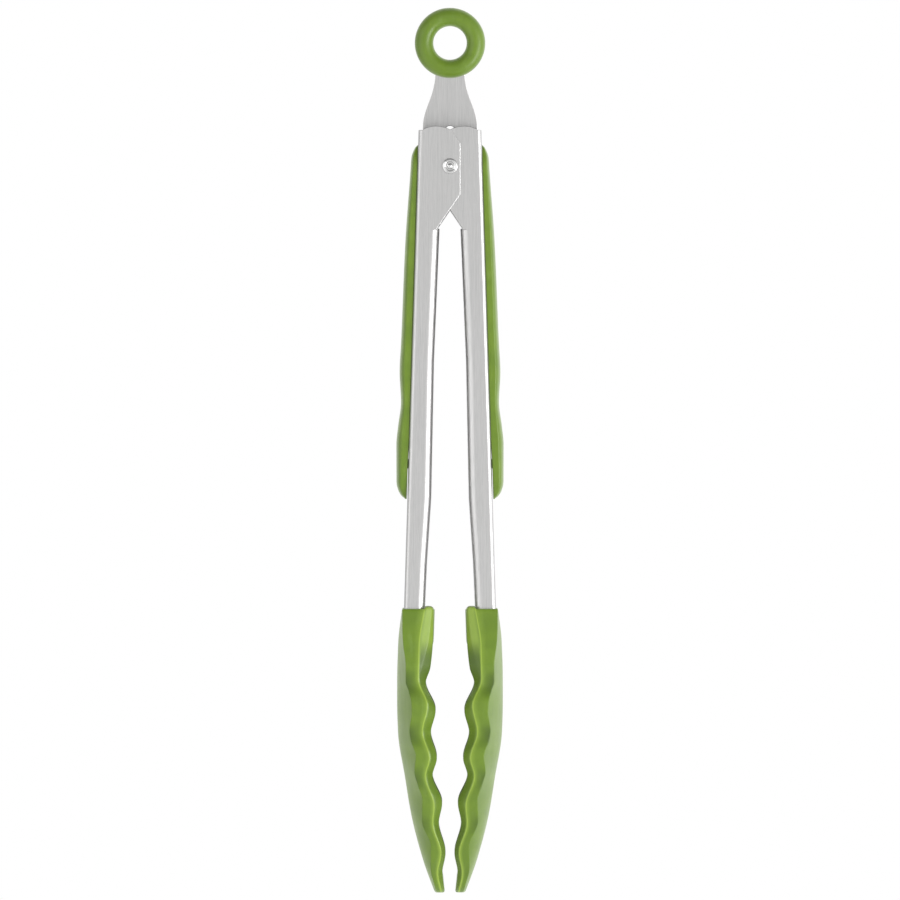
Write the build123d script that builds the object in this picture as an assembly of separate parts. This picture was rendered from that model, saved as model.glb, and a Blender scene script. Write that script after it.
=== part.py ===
from build123d import *
from math import atan2, cos, degrees, pi
import os

# Spring loaded kitchen tongs, drawn locked shut and hanging from the ring.
# +Z is up, X runs across the jaws and Y runs along the rivet. Millimetres.
# Heights are worked out from the rivet's axis, and every piece is then lowered
# by RING_TO_PIVOT, so that the origin is the centre of the hang hole.

# ---- overall sizes
RING_TO_PIVOT = 49.6      # centre of the hang hole above the rivet, lock pulled out
ARM_LENGTH = 290.1        # rivet axis to the tips
HEAD_LENGTH = 113.6       # silicone head, collar to tip
WEB_AT_PIVOT = 12.98      # arm's back from the centre line, at the rivet
WEB_AT_HEAD = 18.37       # the same, where the head begins

# ---- stamped arms
SHEET = 0.7
CHANNEL_WIDTH = 25.0      # one channel, outside to outside
BEND = 1.6                # outside radius of the channel's two corners
CURL = 3.0                # outside radius of the turned-in long edges
EAR_GAP = 0.1             # between the two arms' ears, which lie face to face
WEB_TOP = 14.4            # upper end of an arm's back
EAR_PEAK = 16.0           # top of an ear's rounded lobe
EAR_PEAK_X = 5.5
EAR_SHOULDER = 15.0       # where the lobe meets the bent corner
EAR_NOTCH = 14.6          # dip between the two lobes, on the centre line
EAR_REACH = 4.1           # how far an ear passes the centre line
EAR_REACH_TOP = 9.2
EAR_REACH_FOOT = -11.2
VEE_APEX = -17.2          # top of the vee between the arms
VEE_FOOT = -24.6          # lower end of the ear's slanted edge
# half the gap between the arms' edges, by share of the way from vee to head
EDGE_HALF_GAPS = [(0.0, 4.2), (0.35, 6.4), (0.71, 7.5), (0.88, 9.2), (1.0, 10.0)]

# ---- pivot
SHANK_RADIUS = 1.85
SHANK_CLEARANCE = 0.05    # in the ears' holes, the sleeves and the slot's sides
RIVET_HEAD_RADIUS = 3.1
RIVET_HEAD_HEIGHT = 1.1
RIVET_ROLL = 0.75         # radius of the rolled rim
RIVET_FLOOR = 0.35        # metal under the rim and the boss
SLEEVE_RADIUS = 3.0
SIDE_PLAY = 0.05          # along the rivet, between one piece and the next

# ---- spring
WIRE = 1.5
COIL_TURNS = 5.0
COIL_PITCH = 1.65
LEG_REACH = 21.0          # how far down the legs press on the arms' backs
LEG_PLAY = 0.35           # between a leg and the back that it presses on
LEG_THINNER = 0.12        # off the legs' radius, so that they run into the coils cleanly
COIL_PLAY = 0.3           # between the coils and the sleeves inside them

# ---- lock plate
PLATE = 1.5
SLOT_TOP = 16.5
LOCK_END_PLAY = 0.45      # slack past the shank with the plate pulled out
SHOULDER_PLAY = 0.94      # between the plate's shoulders and the arms' backs
SHOULDER_TOP = 17.0
SHOULDER_FOOT = 15.2
NECK_HALF = 6.0           # half the plate's width where it enters the ring
TAIL_HALF = 4.6
TAIL_BELOW_SLOT = 3.4

# ---- ring
HANG_HOLE_RADIUS = 6.7
RING_WALL = 7.4
RING_THICK = 8.4
RING_ROUND = 2.7
EYE_INSET = 1.9           # silicone over the plate's steel eye

# ---- grips
GRIP_TOP = 8.6
GRIP_TO_HEAD = 43.7       # bare steel between the grip's end and the head
GRIP_WIDTH = 22.4
GRIP_SIDE = 0.45          # height of the grip's sides, as a share of its crown
# share of the way down, crown height and share of the full width
GRIP_SHAPE = [
    (0.0, 0.5, 0.50),
    (0.012, 1.7, 0.78),
    (0.035, 2.5, 0.93),
    (0.08, 3.0, 1.0),
    (0.27, 4.1, 1.0),
    (0.55, 4.6, 1.0),
    (0.64, 4.8, 1.0),
    (0.72, 3.8, 1.0),
    (0.80, 4.5, 1.0),
    (0.90, 4.9, 1.0),
    (0.955, 4.6, 0.97),
    (0.985, 3.2, 0.85),
    (1.0, 0.8, 0.60),
]
STUD_SHARES = [0.10, 0.50, 0.90]
STUD_HOLE = 2.0
STUD_CLEARANCE = 0.08
STUD_HEAD_RADIUS = 2.9
STUD_HEAD = 1.1
STUD_LIFT = 0.1           # between a stud's head and the steel it grips
STUD_ROOT = 0.5           # how far a stud's neck starts inside the pad
STUD_TAPER = 25

# ---- heads
COLLAR_RISE = 0.8         # the collar's lip stands this much above its back
COLLAR_BACK = 0.75        # silicone outside the arm's back
COLLAR_EDGE = 3.5         # silicone inside the arm's long edges
COLLAR_SIDE = 1.3         # silicone over the arm's sides
LIP_LEAN = 0.3            # how far the lip's outer face leans
LIP_CORNER = 1.4          # flat top of the lip stops this far from its inner face
CORNER_DROP = 1.6         # height of the rounding below the lip's top
# share of the way down, and distance of the head's back from the centre line
HEAD_BACK = [(0.12, 20.7), (0.30, 21.2), (0.44, 20.7), (0.60, 18.1), (0.73, 15.4), (0.89, 10.6)]
# share of the way down, and half the head's width across the tongs
HEAD_HALF_WIDTH = [(0.10, 16.6), (0.32, 19.0), (0.52, 18.2), (0.72, 15.0), (0.88, 11.0)]
TIP_OUT = 6.0
TIP_IN = 2.4
TIP_ROUND_OUT = 1.0       # where the tip's rounding starts, at the back and at the edge
TIP_ROUND_IN = 1.6
# scalloped gripping edge
WAVE_START = 0.26         # first hollow, by share of the way down
WAVE_PITCH = 18.8
WAVE_HALVES = 9
WAVE_DEPTH_TOP = 1.7
WAVE_DEPTH_TIP = 0.7
# the wave's line: share of the way from first hollow to tip, distance from the centre line
EDGE_MEAN = [(0.0, 8.0), (0.5, 5.3), (0.73, 2.7), (1.0, 2.6)]
SCOOP_FLOOR = 3.4
SCOOP_WALL = 3.2
SCOOP_TOP = 14.0          # below the collar's top
SCOOP_FOOT = 7.0          # above the tip
PLUG_DEPTH = 9.0          # how far the channel runs into the head
TONGUE_COVER = 1.9        # silicone outside the arm's tongue
TONGUE_HALF_WIDTH = 7.0
TONGUE_SHORT = 14.0       # the tongue stops this far above the tip

# ---- worked out
STEEL_LENGTH = ARM_LENGTH - HEAD_LENGTH
HEAD_TOP = -STEEL_LENGTH
TIP = -ARM_LENGTH
STAGGER = (SHEET + EAR_GAP) / 2
HALF_CHANNEL = CHANNEL_WIDTH / 2
EAR_OUTSIDE = HALF_CHANNEL + STAGGER
EAR_INSIDE = EAR_OUTSIDE - 2 * SHEET - EAR_GAP
PIVOT_HOLE = SHANK_RADIUS + SHANK_CLEARANCE
SLOT_FOOT = -PIVOT_HOLE - LOCK_END_PLAY
COIL_RADIUS = SLEEVE_RADIUS + SHANK_CLEARANCE + COIL_PLAY + WIRE / 2
COIL_LENGTH = COIL_TURNS * COIL_PITCH
COIL_START = PLATE / 2 + 2 * SIDE_PLAY + WIRE / 2
GRIP_LENGTH = GRIP_TOP + STEEL_LENGTH - GRIP_TO_HEAD
REACH = 60.0              # longer than any cut needs


def web_x(z):
    """The left arm's outer face at a height, a straight line that leans outwards."""
    return -WEB_AT_PIVOT + (WEB_AT_HEAD - WEB_AT_PIVOT) * z / STEEL_LENGTH


def between(points, share):
    """Straight-line value at a share along a list of (share, value)."""
    for (low, at_low), (high, at_high) in zip(points, points[1:]):
        if share <= high:
            return at_low + (at_high - at_low) * (share - low) / (high - low)
    return points[-1][1]


def edge_x(z):
    """The left arm's long inner edge at a height below the vee."""
    share = (VEE_FOOT - z) / (VEE_FOOT - HEAD_TOP)
    return -between(EDGE_HALF_GAPS, max(0.0, share))


def head_z(share):
    """Height at a share of the way down a head."""
    return HEAD_TOP - share * HEAD_LENGTH


def bar(start, end, radius):
    """A straight round bar between two points."""
    run = Vector(*end) - Vector(*start)
    frame = Plane(origin=start, z_dir=run)
    return extrude(frame * Circle(radius), amount=run.length)


def across(outline, y_low, y_high):
    """An outline drawn in X and Z, made solid from one Y to another."""
    sheet = Plane.XZ.offset(-y_high) * make_face(outline)
    return extrude(sheet, amount=y_high - y_low)


def bent_section(z, curled):
    """The channel's section at a height, with turned-in edges or with plain short ones."""
    web = web_x(z)
    side = HALF_CHANNEL - BEND
    inner = BEND - SHEET
    bend = web + BEND
    if curled:
        edge = edge_x(z)
        turn = edge - CURL
        lip = HALF_CHANNEL - CURL
        ends = [
            CenterArc((turn, lip), CURL, 0, 90),
            CenterArc((turn, -lip), CURL, 270, 90),
            Line((edge, -lip), (edge - SHEET, -lip)),
            CenterArc((turn, -lip), CURL - SHEET, 270, 90),
            CenterArc((turn, lip), CURL - SHEET, 0, 90),
            Line((edge - SHEET, lip), (edge, lip)),
        ]
    else:
        turn = bend + SHEET
        ends = [
            Line((turn, -HALF_CHANNEL), (turn, SHEET - HALF_CHANNEL)),
            Line((turn, HALF_CHANNEL - SHEET), (turn, HALF_CHANNEL)),
        ]
    walls = [
        Line((turn, HALF_CHANNEL), (bend, HALF_CHANNEL)),
        CenterArc((bend, side), BEND, 90, 90),
        Line((web, side), (web, -side)),
        CenterArc((bend, -side), BEND, 180, 90),
        Line((bend, -HALF_CHANNEL), (turn, -HALF_CHANNEL)),
        Line((turn, SHEET - HALF_CHANNEL), (bend, SHEET - HALF_CHANNEL)),
        CenterArc((bend, -side), inner, 180, 90),
        Line((web + SHEET, -side), (web + SHEET, side)),
        CenterArc((bend, side), inner, 90, 90),
        Line((bend, HALF_CHANNEL - SHEET), (turn, HALF_CHANNEL - SHEET)),
    ]
    return Pos(0, 0, z) * make_face(ends + walls)


def ear_outline():
    """One ear in X and Z: a lobe over the rivet, and a slanted edge down to the vee."""
    foot = VEE_FOOT - SHEET
    vee_x = EAR_REACH * (VEE_FOOT - VEE_APEX) / (EAR_REACH_FOOT - VEE_APEX)
    top = (web_x(WEB_TOP) + BEND, WEB_TOP)
    shoulder = (web_x(EAR_SHOULDER) + BEND + SHEET, EAR_SHOULDER)
    notch = (0.0, EAR_NOTCH)
    reach_top = (EAR_REACH, EAR_REACH_TOP)
    reach_foot = (EAR_REACH, EAR_REACH_FOOT)
    vee = (vee_x, VEE_FOOT)
    return [
        Line(top, shoulder),
        ThreePointArc(shoulder, (-EAR_PEAK_X, EAR_PEAK), notch),
        Line(notch, reach_top),
        Line(reach_top, reach_foot),
        Line(reach_foot, vee),
        Line(vee, (vee_x, foot)),
        Line((vee_x, foot), (web_x(foot) + BEND, foot)),
        Line((web_x(foot) + BEND, foot), top),
    ]


def back_points(inset):
    """Points down a head's back, moved in towards the centre line by an inset."""
    return [(inset - x, head_z(share)) for share, x in HEAD_BACK]


def arm_tongue():
    """The arm's flat end, which carries the head along its back."""
    start_z = HEAD_TOP - PLUG_DEPTH + 1.0
    end_z = TIP + TONGUE_SHORT
    outer = [(web_x(start_z), start_z)]
    outer += [p for p in back_points(TONGUE_COVER)[1:] if p[1] > end_z + 4]
    end_x = between(HEAD_BACK, (HEAD_TOP - end_z) / HEAD_LENGTH)
    outer.append((TONGUE_COVER - end_x - 0.2, end_z))
    inner = [(x + SHEET, z) for x, z in outer]
    outline = [
        Spline(outer),
        Line(outer[-1], inner[-1]),
        Spline(inner),
        Line(inner[0], outer[0]),
    ]
    return across(outline, -TONGUE_HALF_WIDTH, TONGUE_HALF_WIDTH)


def stud_heights():
    """Where the grip's studs pass through the arm's back."""
    return [GRIP_TOP - share * GRIP_LENGTH for share in STUD_SHARES]


def left_arm():
    """One stamped arm: a channel with turned-in edges, two ears and a tongue."""
    stations = [VEE_FOOT - SHEET / 2]
    stations += [VEE_FOOT - s * (VEE_FOOT - HEAD_TOP) for s, _ in EDGE_HALF_GAPS[1:]]
    stations.append(HEAD_TOP - PLUG_DEPTH)
    channel = loft([bent_section(z, True) for z in stations], ruled=True)
    upper = loft([bent_section(z, False) for z in (VEE_FOOT - SHEET, WEB_TOP)], ruled=True)
    arm = channel + upper + arm_tongue()
    for low in (-HALF_CHANNEL, HALF_CHANNEL - SHEET):
        arm += across(ear_outline(), low, low + SHEET)
    arm -= bar((0, -REACH, 0), (0, REACH, 0), PIVOT_HOLE)
    for z in stud_heights():
        x = web_x(z)
        arm -= bar((x - SHEET, 0, z), (x + 2 * SHEET, 0, z), STUD_HOLE)
    return Pos(0, -STAGGER, 0) * arm


def grip_section(share, crown, width_share):
    """A grip's section: flat on the arm, straight sides and a crowned back."""
    z = GRIP_TOP - share * GRIP_LENGTH
    base = web_x(z)
    half = GRIP_WIDTH * width_share / 2
    side = base - crown * GRIP_SIDE
    outline = [
        Line((base, -half), (base, half)),
        Line((base, half), (side, half)),
        ThreePointArc((side, half), (base - crown, 0), (side, -half)),
        Line((side, -half), (base, -half)),
    ]
    return Pos(0, 0, z) * make_face(outline)


def left_grip():
    """A soft pad along the arm's back, held by three headed studs."""
    grip = loft([grip_section(*row) for row in GRIP_SHAPE], ruled=True)
    for z in stud_heights():
        seat = web_x(z) + SHEET + STUD_CLEARANCE + STUD_LIFT
        root = web_x(z) - STUD_ROOT
        grip += bar((root, 0, z), (seat + STUD_HEAD / 2, 0, z), STUD_HOLE - STUD_CLEARANCE)
        cone = Plane(origin=(seat, 0, z), z_dir=(1, 0, 0))
        grip += extrude(cone * Circle(STUD_HEAD_RADIUS), amount=STUD_HEAD, taper=STUD_TAPER)
    return Pos(0, -STAGGER, 0) * grip


def gripping_edge():
    """Points down a head's scalloped edge, alternating hollows and crests."""
    first = WAVE_START * HEAD_LENGTH
    top_x = web_and_edge_at_collar()
    points = [
        (top_x, HEAD_TOP - CORNER_DROP),
        (top_x - 0.5, HEAD_TOP - 0.45 * first),
        (top_x - 1.2, HEAD_TOP - 0.78 * first),
    ]
    for step in range(WAVE_HALVES):
        down = first + step * WAVE_PITCH / 2
        share = (down - first) / (HEAD_LENGTH - first)
        mean = between(EDGE_MEAN, share)
        depth = WAVE_DEPTH_TOP + (WAVE_DEPTH_TIP - WAVE_DEPTH_TOP) * share
        points.append((-mean - depth * cos(pi * step), HEAD_TOP - down))
    points.append((-TIP_IN, TIP + TIP_ROUND_IN))
    return points


def web_and_edge_at_collar():
    """The collar's inner face: the arm's edge with silicone over it."""
    return edge_x(HEAD_TOP) + COLLAR_EDGE


def head_profile():
    """A head from the front, in X and Z: curved back, scalloped edge, rounded tip."""
    edge = gripping_edge()
    back_top = (web_x(HEAD_TOP) - COLLAR_BACK, HEAD_TOP)
    lip = (edge_x(HEAD_TOP), HEAD_TOP)
    lip_top = (lip[0] + LIP_LEAN, HEAD_TOP + COLLAR_RISE)
    round_top = (edge[0][0] - LIP_CORNER, HEAD_TOP + COLLAR_RISE)
    tip_back = (-TIP_OUT, TIP + TIP_ROUND_OUT)
    tip_low = (-(TIP_OUT + TIP_IN) / 2, TIP)
    return [
        Spline([back_top] + back_points(0) + [tip_back]),
        ThreePointArc(tip_back, tip_low, edge[-1]),
        Spline(edge[::-1]),
        Line(edge[0], round_top),
        Line(round_top, lip_top),
        Line(lip_top, lip),
        Line(lip, back_top),
    ]


def width_profile(inset, top, tip):
    """A head from the side, in Y and Z: narrow collar, broad cheeks, rounded tip."""
    collar = EAR_OUTSIDE + COLLAR_SIDE - inset
    cheeks = [(half - inset, head_z(share)) for share, half in HEAD_HALF_WIDTH]
    cheeks = [(collar, top)] + [p for p in cheeks if p[1] < top - 2]
    right = Spline(cheeks + [(0, tip)], tangents=[(0.15, -1), (-1, 0)])
    left = Spline([(-y, z) for y, z in cheeks] + [(0, tip)], tangents=[(-0.15, -1), (1, 0)])
    lid = Line((collar, top), (-collar, top))
    return extrude(Plane.YZ * make_face([right, left, lid]), amount=REACH, both=True)


def head_scoop():
    """The hollow of a head, open towards the other head."""
    top = HEAD_TOP - SCOOP_TOP
    foot = TIP + SCOOP_FOOT
    floor = [p for p in back_points(SCOOP_FLOOR) if foot + 3 < p[1] < top]
    last = between(HEAD_BACK, (HEAD_TOP - foot) / HEAD_LENGTH)
    floor = [(web_x(top) + SCOOP_FLOOR / 2, top)] + floor + [(SCOOP_FLOOR - last + 2.0, foot)]
    outline = [
        Spline(floor),
        Line(floor[-1], (SCOOP_FLOOR, foot)),
        Line((SCOOP_FLOOR, foot), (SCOOP_FLOOR, top)),
        Line((SCOOP_FLOOR, top), floor[0]),
    ]
    return across(outline, -REACH, REACH) & width_profile(SCOOP_WALL, top, foot)


def left_head(arm):
    """A soft scalloped head, moulded over the arm's end."""
    body = across(head_profile(), -REACH, REACH)
    body &= width_profile(0, HEAD_TOP + COLLAR_RISE, TIP)
    body = body - head_scoop() - Pos(0, STAGGER, 0) * arm
    return Pos(0, -STAGGER, 0) * body


def pivot_rivet():
    """The rivet: a shank, a domed head behind and a rolled rim with a boss in front."""
    face = EAR_OUTSIDE + SIDE_PLAY
    floor = -face - RIVET_FLOOR
    rim_inner = RIVET_HEAD_RADIUS - 2 * RIVET_ROLL
    boss = rim_inner - RIVET_ROLL / 2
    crown = face + RIVET_HEAD_HEIGHT
    dome = (RIVET_HEAD_RADIUS**2 + RIVET_HEAD_HEIGHT**2) / (2 * RIVET_HEAD_HEIGHT)
    start = degrees(atan2(dome - RIVET_HEAD_HEIGHT, RIVET_HEAD_RADIUS))
    profile = [
        Line((0, crown), (0, floor - boss)),
        CenterArc((0, floor), boss, 270, 90),
        Line((boss, floor), (rim_inner, floor)),
        CenterArc((rim_inner + RIVET_ROLL, floor), RIVET_ROLL, 180, 180),
        Polyline([
            (RIVET_HEAD_RADIUS, floor),
            (RIVET_HEAD_RADIUS, -face),
            (SHANK_RADIUS, -face),
            (SHANK_RADIUS, face),
            (RIVET_HEAD_RADIUS, face),
        ]),
        CenterArc((0, crown - dome), dome, start, 90 - start),
    ]
    return revolve(make_face(profile), Axis.Y)


def spacer_sleeve():
    """A tube on the rivet, between the lock plate and the ears, inside the coil."""
    start = PLATE / 2 + SIDE_PLAY
    end = EAR_INSIDE - SIDE_PLAY
    tube = bar((0, start, 0), (0, end, 0), SLEEVE_RADIUS)
    return tube - bar((0, -REACH, 0), (0, REACH, 0), PIVOT_HOLE)


def torsion_spring():
    """Two coils side by side with four legs, the inner two joined by a bridge."""
    leg = WIRE / 2 - LEG_THINNER
    inner = COIL_START
    outer = COIL_START + COIL_LENGTH
    foot = -LEG_REACH
    touch = web_x(foot) + SHEET + LEG_PLAY + WIRE / 2
    bridge = inner + WIRE / 2
    spring = bar((-touch, -bridge, foot), (-touch, bridge, foot), WIRE / 2)
    bore = bar((0, -REACH, 0), (0, REACH, 0), COIL_RADIUS - WIRE / 2)
    for side in (-1, 1):
        start = (0, side * (inner - WIRE / 2), 0)
        end = (0, side * (outer + WIRE / 2), 0)
        coil = bar(start, end, COIL_RADIUS + WIRE / 2) - bore
        coil += bar((-COIL_RADIUS, side * outer, 0), (touch, side * outer, foot), leg)
        coil += bar((COIL_RADIUS, side * inner, 0), (-touch, side * inner, foot), leg)
        spring += coil
    return spring


def lock_plate():
    """The flat locking slide: an eye inside the ring, shoulders, and a slot on the rivet."""
    shoulder = -web_x(WEB_TOP) - SHEET - SHOULDER_PLAY
    ring_foot = RING_TO_PIVOT - HANG_HOLE_RADIUS - RING_WALL
    eye_radius = HANG_HOLE_RADIUS + RING_WALL - EYE_INSET
    rise = ring_foot - SHOULDER_TOP
    flank = [
        (NECK_HALF - 0.2, ring_foot + EYE_INSET + 1.5),
        (NECK_HALF, ring_foot),
        (NECK_HALF + 0.3 * (shoulder - NECK_HALF), ring_foot - 0.37 * rise),
        (NECK_HALF + 0.76 * (shoulder - NECK_HALF), ring_foot - 0.7 * rise),
        (shoulder, SHOULDER_TOP),
    ]
    tail = SLOT_FOOT - TAIL_BELOW_SLOT
    low = [
        (shoulder, SHOULDER_FOOT),
        (0.72 * shoulder, 0.55 * SHOULDER_FOOT),
        (TAIL_HALF, 0),
        (TAIL_HALF, tail + 2),
        (TAIL_HALF - 2, tail),
    ]
    sides = []
    for side in (-1, 1):
        mirrored = [[(side * x, z) for x, z in run] for run in (flank, low)]
        sides += [
            Spline(mirrored[0]),
            Line(mirrored[0][-1], mirrored[1][0]),
            Polyline(mirrored[1]),
        ]
    top = Line((-flank[0][0], flank[0][1]), flank[0])
    foot = Line((-low[-1][0], tail), (low[-1][0], tail))
    plate = across(sides + [top, foot], -PLATE / 2, PLATE / 2)
    eye = bar((0, -PLATE / 2, RING_TO_PIVOT), (0, PLATE / 2, RING_TO_PIVOT), eye_radius)
    plate += eye
    hole = HANG_HOLE_RADIUS + EYE_INSET
    plate -= bar((0, -REACH, RING_TO_PIVOT), (0, REACH, RING_TO_PIVOT), hole)
    half = PIVOT_HOLE
    middle = (SLOT_TOP + SLOT_FOOT) / 2
    slot = SlotOverall(SLOT_TOP - SLOT_FOOT, 2 * half, rotation=90)
    plate -= extrude(Plane.XZ * Pos(0, middle) * slot, amount=REACH, both=True)
    return plate


def ring_cover(plate):
    """The soft ring, moulded over the plate's eye. Its bore is the hang hole."""
    centre = HANG_HOLE_RADIUS + RING_WALL / 2
    section = Pos(centre, 0) * RectangleRounded(RING_WALL, RING_THICK, RING_ROUND)
    ring = Pos(0, 0, RING_TO_PIVOT) * revolve(section, Axis.Y)
    return ring - plate


def build():
    """Every piece by node name, measured from the rivet's axis."""
    arm = left_arm()
    turn = Rot(0, 0, 180)
    plate = lock_plate()
    sleeve = spacer_sleeve()
    pieces = {
        "left_arm": arm,
        "left_grip": left_grip(),
        "left_head": left_head(arm),
        "pivot_rivet": pivot_rivet(),
        "torsion_spring": torsion_spring(),
        "spacer_sleeve_back": sleeve,
        "spacer_sleeve_front": turn * sleeve,
        "lock_plate": plate,
        "ring_cover": ring_cover(plate),
    }
    for name in ("arm", "grip", "head"):
        pieces[f"right_{name}"] = turn * pieces[f"left_{name}"]
    return pieces


os.makedirs("parts", exist_ok=True)
for name, piece in build().items():
    placed = Pos(0, 0, -RING_TO_PIVOT) * piece
    export_step(placed, f"parts/{name}.step")
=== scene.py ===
"""Spring loaded kitchen tongs: steel finishes, soft mouldings, spring, studio and camera."""

import logging
import math
from dataclasses import dataclass
from enum import Enum
from typing import Any, Sequence, Union

import bmesh
import bpy
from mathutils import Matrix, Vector


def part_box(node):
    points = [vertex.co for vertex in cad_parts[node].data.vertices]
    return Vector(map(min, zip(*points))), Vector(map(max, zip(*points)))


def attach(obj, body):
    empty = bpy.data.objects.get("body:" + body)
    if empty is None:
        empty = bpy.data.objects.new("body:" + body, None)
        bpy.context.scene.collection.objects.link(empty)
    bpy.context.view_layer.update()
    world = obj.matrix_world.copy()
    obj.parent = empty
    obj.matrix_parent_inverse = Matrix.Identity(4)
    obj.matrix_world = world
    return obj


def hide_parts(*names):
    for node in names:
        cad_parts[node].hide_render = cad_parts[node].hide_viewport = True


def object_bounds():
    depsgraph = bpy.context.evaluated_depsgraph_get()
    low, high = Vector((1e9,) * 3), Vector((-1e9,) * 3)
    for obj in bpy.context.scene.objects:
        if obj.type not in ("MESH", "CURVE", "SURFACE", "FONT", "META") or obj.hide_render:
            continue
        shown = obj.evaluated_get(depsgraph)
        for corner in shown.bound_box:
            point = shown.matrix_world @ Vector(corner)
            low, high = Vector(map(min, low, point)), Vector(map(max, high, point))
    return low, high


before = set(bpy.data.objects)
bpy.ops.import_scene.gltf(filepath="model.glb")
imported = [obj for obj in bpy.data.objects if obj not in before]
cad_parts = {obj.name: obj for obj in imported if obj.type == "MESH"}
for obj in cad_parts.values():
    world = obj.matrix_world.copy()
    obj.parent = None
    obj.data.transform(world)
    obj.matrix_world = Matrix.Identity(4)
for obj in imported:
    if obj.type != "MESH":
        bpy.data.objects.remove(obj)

CAD_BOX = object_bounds()
MM = 0.001
PAINTED_HIGHLIGHT = "ridge_highlight"
PAINTED_SHADE = "valley_shade"
BEVEL_SAMPLES = 16
EDGE_COSINES = (0.80, 0.995)
Point2 = tuple[float, float]
Point3 = tuple[float, float, float]
Colour = tuple[float, float, float]

log = logging.getLogger("tongs")


class Side(Enum):
    """The two halves of the tongs. The right one is the left one turned about the upright axis."""

    LEFT = 1
    RIGHT = -1

    @property
    def word(self) -> str:
        """The body's name, which also starts the names of its nodes."""
        return self.name.lower()


class Slot(Enum):
    """The record's material slots."""

    BRUSHED = "brushed_steel"
    POLISHED = "polished_steel"
    SPRING = "spring_steel"
    SILICONE = "green_silicone"


# ---- shader maths


class Wire:
    """An output socket that takes part in arithmetic."""

    def __init__(self, shader: "Shader", socket: bpy.types.NodeSocket) -> None:
        """Wraps one socket of a shader's node."""
        self.shader = shader
        self.socket = socket

    def __add__(self, other: "Term") -> "Wire":
        """self + other."""
        return self.shader.combine("ADD", self, other)

    def __radd__(self, other: "Term") -> "Wire":
        """other + self."""
        return self.shader.combine("ADD", other, self)

    def __sub__(self, other: "Term") -> "Wire":
        """self - other."""
        return self.shader.combine("SUBTRACT", self, other)

    def __rsub__(self, other: "Term") -> "Wire":
        """other - self."""
        return self.shader.combine("SUBTRACT", other, self)

    def __mul__(self, other: "Term") -> "Wire":
        """self * other."""
        return self.shader.combine("MULTIPLY", self, other)

    def __rmul__(self, other: "Term") -> "Wire":
        """other * self."""
        return self.shader.combine("MULTIPLY", other, self)


Term = Union[Wire, float, Sequence[float]]


@dataclass(frozen=True)
class Grain:
    """A noise: features per millimetre along X, Y and Z, octaves, and the finer ones' weight."""

    stretch: Point3
    detail: float = 4.0
    roughness: float = 0.6


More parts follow.
